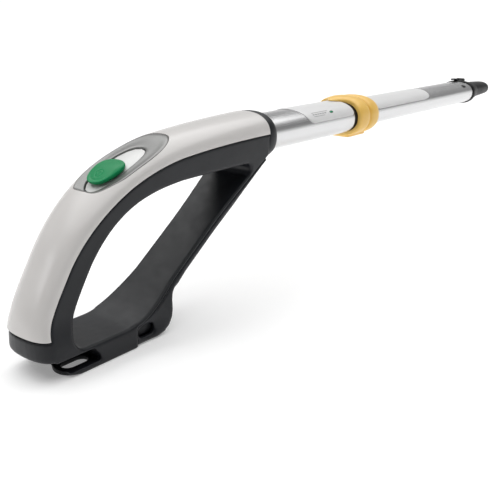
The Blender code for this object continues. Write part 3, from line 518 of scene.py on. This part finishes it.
def make_bush():
    """Guide bush round the inner tube, with the bore that the lock pin runs in."""
    a = BUSH_HIGH.y
    b = (BUSH_HIGH.z - BUSH_LOW.z) / 2.0
    x0, x1 = BUSH_LOW.x, BUSH_HIGH.x
    bush = pipe("bush",
                [(x0, a - BUSH_EDGE, b - BUSH_EDGE), (x0 + BUSH_EDGE, a, b),
                 (x1 - BUSH_EDGE, a, b), (x1, a - BUSH_EDGE, b - BUSH_EDGE)],
                [(x, INNER_A + BUSH_ROOM, INNER_B + BUSH_ROOM) for x in (x0, x1)])
    middle = (PIN_LOW.x + PIN_HIGH.x) / 2.0
    radius = (PIN_HIGH.x - PIN_LOW.x) / 2.0 + GAP
    bore = [[Vector((middle + y, z, height)) for y, z in superellipse(radius, radius, 2.0, 40)]
            for height in (PIN_LOW.z - 2.0, PIN_HIGH.z + 2.0)]
    cut(bush, skin("bore", bore))
    return reshade(bush, SHARP)


LABEL_TOP = 0.65               # label plate's outer face above the tube
MARK_FOOT, MARK_PRINT = -0.1, 0.05     # a printed mark's underside and face, over that
LENS_AT = (38.0, 141.0)        # millimetres along the label, degrees round the tube
LENS_SIZE = (2.5, 4.6)         # half extents in the same units
LENS_LEVELS = ((1.0, -0.1), (1.0, 0.16), (0.94, 0.26), (0.8, 0.36), (0.55, 0.44), (0.25, 0.48))
LENS_COUNT = 40


def label_point(x, angle, lift):
    """Point over the label at an angle round the tube, in degrees from the left side."""
    y, z = on_oval(OUTER_A + LABEL_TOP + lift, OUTER_B + LABEL_TOP + lift, math.radians(angle))
    return Vector((x, y, AXIS_Z + z))


def make_marks():
    """Plain printed rules and dashes on the label, without lettering."""
    bars = [(11.0, 34.0, 133.0, 134.4), (11.0, 27.0, 147.0, 148.2)]
    bars += [(11.0 + 3.4 * n, 13.2 + 3.4 * n, 139.0, 142.0) for n in range(6)]
    bm = bmesh.new()
    for start, end, low, high in bars:
        corners = []
        for lift in (MARK_FOOT, MARK_PRINT):
            for x, angle in ((start, low), (end, low), (end, high), (start, high)):
                corners.append(bm.verts.new(label_point(PANEL_LOW.x + x, angle, lift)))
        under, over = corners[:4], corners[4:]
        bm.faces.new(under)
        bm.faces.new(over)
        for i in range(4):
            j = (i + 1) % 4
            bm.faces.new((under[i], under[j], over[j], over[i]))
    return make_object("label_marks", bm)


def make_lens():
    """Small oval green window on the near shoulder of the label."""
    rings = []
    for scale, lift in LENS_LEVELS:
        ring = []
        for k in range(LENS_COUNT):
            a = 2.0 * math.pi * k / LENS_COUNT
            x = PANEL_LOW.x + LENS_AT[0] + LENS_SIZE[0] * scale * math.cos(a)
            ring.append(label_point(x, LENS_AT[1] + LENS_SIZE[1] * scale * math.sin(a), lift))
        rings.append(ring)
    return skin("signal_lens", rings, sharp=50)


# ---- release collar ----------------------------------------------------------------------------------
COLLAR_START, COLLAR_END = 279.0, 313.0
COLLAR_COUNT = 144
COLLAR_SHARP = 40
# distance along, half width, half height
COLLAR_PROFILE = (
    (0.0, 23.6, 16.0), (0.4, 24.3, 16.7), (1.2, 24.8, 17.2), (3.5, 25.1, 17.5), (7.0, 25.2, 17.6),
    (11.0, 25.1, 17.5), (14.4, 24.9, 17.3), (15.4, 24.5, 16.9), (15.9, 23.7, 16.1), (16.3, 23.3, 15.7),
    (17.6, 23.2, 15.6), (18.2, 23.5, 15.9), (18.7, 24.2, 16.6), (19.6, 24.7, 17.1), (23.0, 24.9, 17.3),
    (27.0, 24.8, 17.2), (30.0, 24.5, 16.9), (32.4, 23.9, 16.3), (33.6, 23.2, 15.6), (34.0, 22.5, 14.9),
)
TONGUE_REACH, TONGUE_WIDTH, TONGUE_FADE = 13.0, 8.5, 11.0
CREST, CREST_WIDTH = 0.9, 13.0         # low swelling behind the tongue
TIP_DROP, TIP_WIDTH = 0.8, 9.0
BORE_REACH, BORE_RISE = 12.6, 1.2      # the bore under the tongue


def make_collar():
    """Two bands with a groove between, a tongue swept back over the tube, and a lug below."""
    x0, x1 = COLLAR_START, COLLAR_END
    bore_a, bore_b = OUTER_A - 0.2, OUTER_B - 0.2
    lip_a, lip_b = INNER_A + 1.2, INNER_B + 1.2
    rings = []
    for along, a, b in COLLAR_PROFILE:
        ring = []
        for i in range(COLLAR_COUNT):
            t = 2.0 * math.pi * i / COLLAR_COUNT
            y, z = on_oval(a, b, t)
            up = max(0.0, math.sin(t))
            fade = max(0.0, 1.0 - along / TONGUE_FADE) ** 1.3
            sweep = TONGUE_REACH * math.exp(-(y / TONGUE_WIDTH) ** 2) * up ** 3 * fade
            lift = CREST * math.exp(-(y / CREST_WIDTH) ** 2) * up * math.exp(-((along - 8.0) / 7.0) ** 2)
            drop = max(0.0, 1.0 - along / 6.0) * math.exp(-(y / TIP_WIDTH) ** 2) * up ** 3 * TIP_DROP
            ring.append(Vector((x0 + along - sweep, y, AXIS_Z + z + lift - drop)))
        rings.append(ring)
    inside = []
    for along, a, b in ((0.0, bore_a, bore_b), (x1 - x0 - 2.2, bore_a, bore_b),
                        (x1 - x0 - 2.0, lip_a, lip_b), (x1 - x0, lip_a, lip_b)):
        ring = []
        for i in range(COLLAR_COUNT):
            t = 2.0 * math.pi * i / COLLAR_COUNT
            y, z = on_oval(a, b, t)
            up = max(0.0, math.sin(t))
            sweep = rise = 0.0
            if along == 0.0:
                sweep = BORE_REACH * math.exp(-(y / TONGUE_WIDTH) ** 2) * up ** 3
                rise = BORE_RISE * up ** 3 * math.exp(-(y / TIP_WIDTH) ** 2)
            ring.append(Vector((x0 + along - sweep, y, AXIS_Z + z + rise)))
        inside.append(ring)
    collar = skin("collar_ring", rings + list(reversed(inside)), closed=True, sharp=40)
    lug = rounded_box("lug", (x0 + 2.0, -11.0, AXIS_Z - 18.4), (x1 - 3.0, 11.0, AXIS_Z - 14.2), 1.5)
    cut(collar, lug, "UNION")
    pocket = rounded_box("pocket", (x0 + 5.0, -3.4, AXIS_Z - 17.2), (x0 + 19.0, 3.4, AXIS_Z - 9.0), 0.4)
    cut(collar, pocket)
    return reshade(collar, COLLAR_SHARP)


def rounded_box(name, low, high, radius):
    """Box between two corners with rounded edges."""
    bm = bmesh.new()
    bmesh.ops.create_cube(bm, size=1.0)
    bmesh.ops.scale(bm, vec=Vector(high) - Vector(low), verts=bm.verts)
    bmesh.ops.translate(bm, vec=(Vector(low) + Vector(high)) / 2.0, verts=bm.verts)
    bmesh.ops.bevel(bm, geom=bm.edges[:], offset=radius, segments=4, affect="EDGES", profile=0.5)
    return make_object(name, bm)


# ---- materials -----------------------------------------------------------------------------------------
# Painted highlight: convex edges in this Pointiness range get a lighter colour.
HIGHLIGHT_FROM, HIGHLIGHT_TO = 0.52, 0.62        # Pointiness range of a convex edge
TONE_SCALE, SHEEN_SCALE = 38.0, 140.0
GRAIN_STRENGTH, COAT_ROUGHNESS = 0.35, 0.08
DRAW_STRETCH = (3.0, 1600.0, 1600.0)   # long along X, fine across it
BLAST_SCALE = 2600.0


class Surface:
    """A Principled material with the few node set-ups that these pieces need."""

    def __init__(self, name, rough, metallic=0.0):
        self.mat = bpy.data.materials.new(name)
        self.mat.use_nodes = True
        self.tree = self.mat.node_tree
        self.shader = self.tree.nodes["Principled BSDF"]
        self.shader.inputs["Roughness"].default_value = rough
        self.shader.inputs["Metallic"].default_value = metallic
        self.place = self.tree.nodes.new("ShaderNodeTexCoord").outputs["Object"]

    def noise(self, scale, detail=3.0, stretch=(1.0, 1.0, 1.0)):
        """Noise in the piece's own coordinates."""
        mapping = self.tree.nodes.new("ShaderNodeMapping")
        mapping.inputs["Scale"].default_value = stretch
        self.tree.links.new(self.place, mapping.inputs["Vector"])
        node = self.tree.nodes.new("ShaderNodeTexNoise")
        node.inputs["Scale"].default_value = scale
        node.inputs["Detail"].default_value = detail
        self.tree.links.new(mapping.outputs["Vector"], node.inputs["Vector"])
        return node.outputs["Fac"]

    def ramp(self, source, low, high, start=0.3, end=0.7):
        """Maps a 0..1 value to a value or colour between low and high."""
        if isinstance(low, tuple):
            node = self.tree.nodes.new("ShaderNodeValToRGB")
            node.color_ramp.elements[0].position = start
            node.color_ramp.elements[1].position = end
            node.color_ramp.elements[0].color = (*low, 1.0)
            node.color_ramp.elements[1].color = (*high, 1.0)
            self.tree.links.new(source, node.inputs["Fac"])
            return node.outputs["Color"]
        node = self.tree.nodes.new("ShaderNodeMapRange")
        node.inputs["From Min"].default_value = start
        node.inputs["From Max"].default_value = end
        node.inputs["To Min"].default_value = low
        node.inputs["To Max"].default_value = high
        self.tree.links.new(source, node.inputs["Value"])
        return node.outputs["Result"]

    def painted_edge_highlight(self, color, amount, highlight_color):
        """Paints a highlight on convex edges: lightens their colour towards a lighter tone, as if light
        caught the edge.
        """
        geometry = self.tree.nodes.new("ShaderNodeNewGeometry")
        edge = self.ramp(geometry.outputs["Pointiness"], 0.0, amount, HIGHLIGHT_FROM, HIGHLIGHT_TO)
        mix = self.tree.nodes.new("ShaderNodeMix")
        mix.data_type = "RGBA"
        colors = [socket for socket in mix.inputs if socket.type == "RGBA"]
        colors[1].default_value = (*highlight_color, 1.0)
        self.tree.links.new(edge, mix.inputs["Factor"])
        self.tree.links.new(color, colors[0])
        return [socket for socket in mix.outputs if socket.type == "RGBA"][0]

    def bump(self, sources):
        """Chains bumps: (height, strength, distance in millimetres)."""
        normal = None
        for height, strength, distance in sources:
            node = self.tree.nodes.new("ShaderNodeBump")
            node.inputs["Strength"].default_value = strength
            node.inputs["Distance"].default_value = distance * MM
            self.tree.links.new(height, node.inputs["Height"])
            if normal:
                self.tree.links.new(normal, node.inputs["Normal"])
            normal = node.outputs["Normal"]
        self.tree.links.new(normal, self.shader.inputs["Normal"])

    def feed(self, socket, source):
        """Links a source to one of the shader's inputs."""
        self.tree.links.new(source, self.shader.inputs[socket])


def moulded(name, low, high, rough, grain, grain_depth, highlight=0.0, highlight_color=(0.3, 0.3, 0.3), coat=0.0,
            specular=0.5, drift=0.05):
    """Injection-moulded plastic: fine spark texture, slow tone drift, and a painted highlight on convex
    edges.

    low and high are the two tones, grain its scale, grain_depth its depth in millimetres, highlight how far
    convex edges turn to the painted highlight colour, and drift how far the roughness wanders.
    """
    s = Surface(name, rough)
    color = s.ramp(s.noise(TONE_SCALE, 4.0), low, high)
    # Painted highlight on convex edges, mixed into the base colour.
    if highlight:
        color = s.painted_edge_highlight(color, highlight, highlight_color)
    s.feed("Base Color", color)
    s.feed("Roughness", s.ramp(s.noise(SHEEN_SCALE), rough - drift, rough + drift))
    s.bump([(s.noise(grain, 2.0), GRAIN_STRENGTH, grain_depth)])
    s.shader.inputs["Coat Weight"].default_value = coat
    s.shader.inputs["Coat Roughness"].default_value = COAT_ROUGHNESS
    s.shader.inputs["Specular IOR Level"].default_value = specular
    return s.mat


def anodised(name, low, high, rough):
    """Extruded, satin-anodised metal: fine draw lines along X under an even blasted finish."""
    s = Surface(name, rough, 1.0)
    lines = s.noise(1.0, 4.0, DRAW_STRETCH)
    s.feed("Base Color", s.ramp(lines, low, high, 0.2, 0.8))
    s.feed("Roughness", s.ramp(lines, rough - 0.03, rough + 0.05, 0.2, 0.8))
    s.bump([(lines, 0.12, 0.006), (s.noise(BLAST_SCALE, 2.0), 0.10, 0.006)])
    s.shader.inputs["Anisotropic"].default_value = 0.35
    return s.mat


# For DARK, GREEN, AMBER and BLACK the last two positional values paint a highlight on convex edges: its
# strength and its colour.
DARK = moulded("dark_shell", (0.0075, 0.0084, 0.0108), (0.0110, 0.0121, 0.0150), 0.38, 2600.0, 0.05, 0.5,
               (0.050, 0.053, 0.060), specular=0.30)
WHITE = moulded("white_shell", (0.600, 0.582, 0.568), (0.618, 0.600, 0.586), 0.24, 2600.0, 0.0008,
                drift=0.008)
TRACK = moulded("track_white", (0.68, 0.68, 0.67), (0.72, 0.72, 0.71), 0.30, 2600.0, 0.001, drift=0.008)
GREEN = moulded("knob_green", (0.0, 0.215, 0.070), (0.002, 0.250, 0.084), 0.36, 1700.0, 0.03, 0.3,
                (0.02, 0.34, 0.14), specular=0.2)
AMBER = moulded("collar_amber", (0.82, 0.50, 0.10), (0.86, 0.55, 0.13), 0.36, 1500.0, 0.03, 0.4,
                (0.92, 0.66, 0.22))
BLACK = moulded("plug_black", (0.0045, 0.0045, 0.005), (0.007, 0.007, 0.0075), 0.40, 1900.0, 0.04, 0.5,
                (0.025, 0.025, 0.028), specular=0.16)
RUBBER = moulded("lead_black", (0.012, 0.012, 0.012), (0.02, 0.02, 0.02), 0.55, 1400.0, 0.05)
PANEL = moulded("label_film", (0.69, 0.69, 0.69), (0.715, 0.715, 0.715), 0.32, 2600.0, 0.001,
                drift=0.008)
PRINT = moulded("label_print", (0.16, 0.16, 0.165), (0.22, 0.22, 0.225), 0.45, 1500.0, 0.01)
LENS = moulded("green_lens", (0.0, 0.16, 0.06), (0.0, 0.22, 0.09), 0.15, 900.0, 0.004, coat=0.5)
ALU = anodised("tube_aluminium", (0.64, 0.64, 0.645), (0.70, 0.70, 0.705), 0.24)
STEEL = anodised("steel", (0.42, 0.42, 0.43), (0.55, 0.55, 0.56), 0.28)
BRASS = anodised("brass", (0.66, 0.46, 0.17), (0.78, 0.58, 0.26), 0.25)


def satin_metallic():
    """Painted grey bezel with fine metallic flake."""
    s = Surface("bezel_grey", 0.30, 0.55)
    flake = s.noise(2400.0, 2.0)
    s.feed("Base Color", s.ramp(flake, (0.20, 0.20, 0.196), (0.245, 0.245, 0.24)))
    s.feed("Roughness", s.ramp(s.noise(160.0), 0.285, 0.30))
    s.bump([(flake, 0.04, 0.0015)])
    return s.mat


BEZEL = satin_metallic()


def show(obj, body, mat, slot, *nodes):
    """Dresses a piece, hangs it on its body and lets it stand for CAD nodes."""
    obj.data.materials.clear()
    obj.data.materials.append(mat)
    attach(obj, body)
    if nodes:
        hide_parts(*nodes)
    return obj


SCOOP_AT, SCOOP_REACH, SCOOP_DEPTH = (22.0, 9.4), (10.5, 6.0), 3.4
SCOOP_SIDE, SCOOP_FADE = 17.0, 3.0     # half width where the dish starts, and its run to full depth


def scooped_cover():
    """Front bar's cover, with the sides dished softly round the two recesses of the heel."""
    cover = soften("front_cover", "bar_cover", VOXEL, 7)
    for vertex in cover.data.vertices:
        p = vertex.co / MM
        u = (p.x - SCOOP_AT[0]) / SCOOP_REACH[0]
        v = (p.z - SCOOP_AT[1]) / SCOOP_REACH[1]
        wall = min(max((abs(p.y) - SCOOP_SIDE) / SCOOP_FADE, 0.0), 1.0)
        dish = SCOOP_DEPTH * math.exp(-(u * u + v * v)) * wall
        vertex.co.y = math.copysign(abs(p.y) - dish, p.y) * MM
    return cover


# ---- build the pieces --------------------------------------------------------------------------------
show(make_cover(), "handle", WHITE, "white_gloss", "top_cover")
show(make_bezel(), "handle", BEZEL, "satin_grey", "switch_bezel")
show(make_knob(), "switch_slider", GREEN, "green_knob", "switch_knob")
show(soften("frame", "grip_frame", VOXEL, 8), "handle", DARK, "dark_plastic", "frame")
show(scooped_cover(), "handle", DARK, "dark_plastic", "front_cover")
show(soften("cord_hook_core", "hook_core", 0.6, 12), "handle", DARK, "dark_plastic", "cord_hook_core")

show(make_rim(), "handle", DARK, "dark_plastic", "tube_rim")
show(make_tube("outer_profile", OUTER_LOW.x, OUTER_HIGH.x, OUTER_A, OUTER_B), "handle", ALU,
     "anodised_aluminium", "outer_tube")
show(slotted_inner_tube(), "inner_stage", ALU, "anodised_aluminium", "inner_tube")
show(make_collar(), "release_ring", AMBER, "yellow_collar", "release_collar")
label = wrapped("label_plate", PANEL_LOW.x, PANEL_HIGH.x, OUTER_A, OUTER_B, 0.55, 13.0, 5.0, 0.0, 4.0)
show(label, "handle", PANEL, "light_panel", "label_panel")
inlay = wrapped("inlay_plate", INLAY_LOW.x, INLAY_HIGH.x, INNER_A, INNER_B, 0.35, 17.0, 0.0, 6.0, 9.0)
show(inlay, "inner_stage", PANEL, "light_panel", "inner_panel")
show(soften("plug_body", "plug_shell", 0.5, 5), "inner_stage", BLACK, "black_plastic", "plug_body")
show(soften("latch_arm", "latch_hook", 0.35, 6), "inner_stage", BLACK, "black_plastic", "latch_arm")
show(soften("latch_button", "latch_cap", 0.3, 4), "plug_latch", BLACK, "black_plastic", "latch_button")
show(make_bush(), "handle", BLACK, "black_plastic", "guide_bush")
show(make_marks(), "handle", PRINT, "dark_plastic")
show(make_lens(), "handle", LENS, "green_knob")
show(soften("mains_inlet", "inlet_body", 0.4, 4), "handle", BLACK, "black_plastic", "mains_inlet")

KEPT = {
    "slide_track": TRACK, "switch_carriage": BLACK, "switch_block": BLACK, "contact_bridge": BRASS,
    "lock_pin": STEEL, "tube_screw_1": STEEL, "tube_screw_2": STEEL, "inlet_pin_left": BRASS,
    "inlet_pin_right": BRASS, "contact_left": BRASS, "contact_middle": BRASS, "contact_right": BRASS,
    "inlet_lead": RUBBER, "tube_lead": RUBBER, "coiled_lead": RUBBER,
}
for node, mat in KEPT.items():
    materials = NODES[node].data.materials
    materials.clear()
    materials.append(mat)


# ---- floor, light and camera ---------------------------------------------------------------------------
FLOOR_HALF = 6000.0
FLOOR_GLOW = 0.24              # lifts the shadow under the object
BACKDROP = 1.04
FOCAL_LENGTH, SENSOR_WIDTH = 50.4, 36.0
CAMERA_PLACE = (-0.2625, -0.34515, 0.21225)
CAMERA_FORWARD = (0.7287, 0.6025, -0.3256)


def make_floor():
    """White ground that the object stands over."""
    bm = bmesh.new()
    bmesh.ops.create_grid(bm, x_segments=8, y_segments=8, size=FLOOR_HALF)
    floor = make_object("floor", bm)
    s = Surface("floor_white", 0.8)
    s.feed("Base Color", s.ramp(s.noise(3.0, 2.0), (0.80, 0.80, 0.80), (0.81, 0.81, 0.81)))
    s.shader.inputs["Emission Color"].default_value = (1.0, 1.0, 1.0, 1.0)
    s.shader.inputs["Emission Strength"].default_value = FLOOR_GLOW
    floor.data.materials.append(s.mat)


def area_light(name, place, target, size, power):
    """White rectangular light aimed at a point."""
    data = bpy.data.lights.new(name, "AREA")
    data.shape = "RECTANGLE"
    data.size, data.size_y = size
    data.energy = power
    obj = bpy.data.objects.new(name, data)
    obj.location = place
    aim = Vector(target) - Vector(place)
    obj.rotation_euler = aim.to_track_quat("-Z", "Y").to_euler()
    bpy.context.scene.collection.objects.link(obj)


def make_camera():
    """Camera at the photo's place, level with the horizon."""
    data = bpy.data.cameras.new("camera")
    data.lens = FOCAL_LENGTH
    data.sensor_width = SENSOR_WIDTH
    data.clip_start = 0.01
    obj = bpy.data.objects.new("camera", data)
    forward = Vector(CAMERA_FORWARD).normalized()
    right = forward.cross(Vector((0.0, 0.0, 1.0))).normalized()
    up = right.cross(forward)
    turn = Matrix((right, up, -forward)).transposed().to_4x4()
    obj.matrix_world = Matrix.Translation(CAMERA_PLACE) @ turn
    bpy.context.scene.collection.objects.link(obj)
    bpy.context.scene.camera = obj


def make_world():
    """Lights the object from behind, less from above and least from the photo's side.

    The camera itself sees an even white backdrop.
    """
    world = bpy.data.worlds.new("studio")
    world.use_nodes = True
    tree = world.node_tree
    background = tree.nodes["Background"]
    background.inputs["Color"].default_value = (1.0, 1.0, 1.0, 1.0)
    place = tree.nodes.new("ShaderNodeTexCoord").outputs["Generated"]

    def graded(axis, start, stop, low, high):
        """Level that goes smoothly from low to high along an axis."""
        facing = tree.nodes.new("ShaderNodeVectorMath")
        facing.operation = "DOT_PRODUCT"
        facing.inputs[1].default_value = axis
        tree.links.new(place, facing.inputs[0])
        level = tree.nodes.new("ShaderNodeMapRange")
        level.interpolation_type = "SMOOTHSTEP"
        level.inputs["From Min"].default_value = start
        level.inputs["From Max"].default_value = stop
        level.inputs["To Min"].default_value = low
        level.inputs["To Max"].default_value = high
        tree.links.new(facing.outputs["Value"], level.inputs["Value"])
        return level.outputs["Result"]

    both = tree.nodes.new("ShaderNodeMath")
    both.operation = "MULTIPLY"
    tree.links.new(graded((0.76, 0.64, 0.0), -0.5, 0.6, 0.16, BACKDROP), both.inputs[0])
    tree.links.new(graded((0.0, 0.0, 1.0), 0.05, 0.22, 1.0, 0.34), both.inputs[1])
    seen = tree.nodes.new("ShaderNodeMix")
    tree.links.new(tree.nodes.new("ShaderNodeLightPath").outputs["Is Camera Ray"], seen.inputs["Factor"])
    tree.links.new(both.outputs["Value"], seen.inputs["A"])
    seen.inputs["B"].default_value = BACKDROP
    tree.links.new(seen.outputs["Result"], background.inputs["Strength"])
    bpy.context.scene.world = world


def sun(name, direction, strength, angle):
    """Distant light; angle is its disc's width in degrees."""
    data = bpy.data.lights.new(name, "SUN")
    data.energy = strength
    data.angle = math.radians(angle)
    obj = bpy.data.objects.new(name, data)
    obj.rotation_euler = Vector(direction).to_track_quat("-Z", "Y").to_euler()
    bpy.context.scene.collection.objects.link(obj)


make_floor()
make_world()
sun("key", (-0.10, -0.12, -1.0), 3.2, 92.0)
area_light("soft_strip", (-0.9, 0.5, 0.60), (0.05, 0.0, 0.10), (0.5, 0.2), 1.0)
bpy.context.scene.view_settings.view_transform = "Standard"
make_camera()
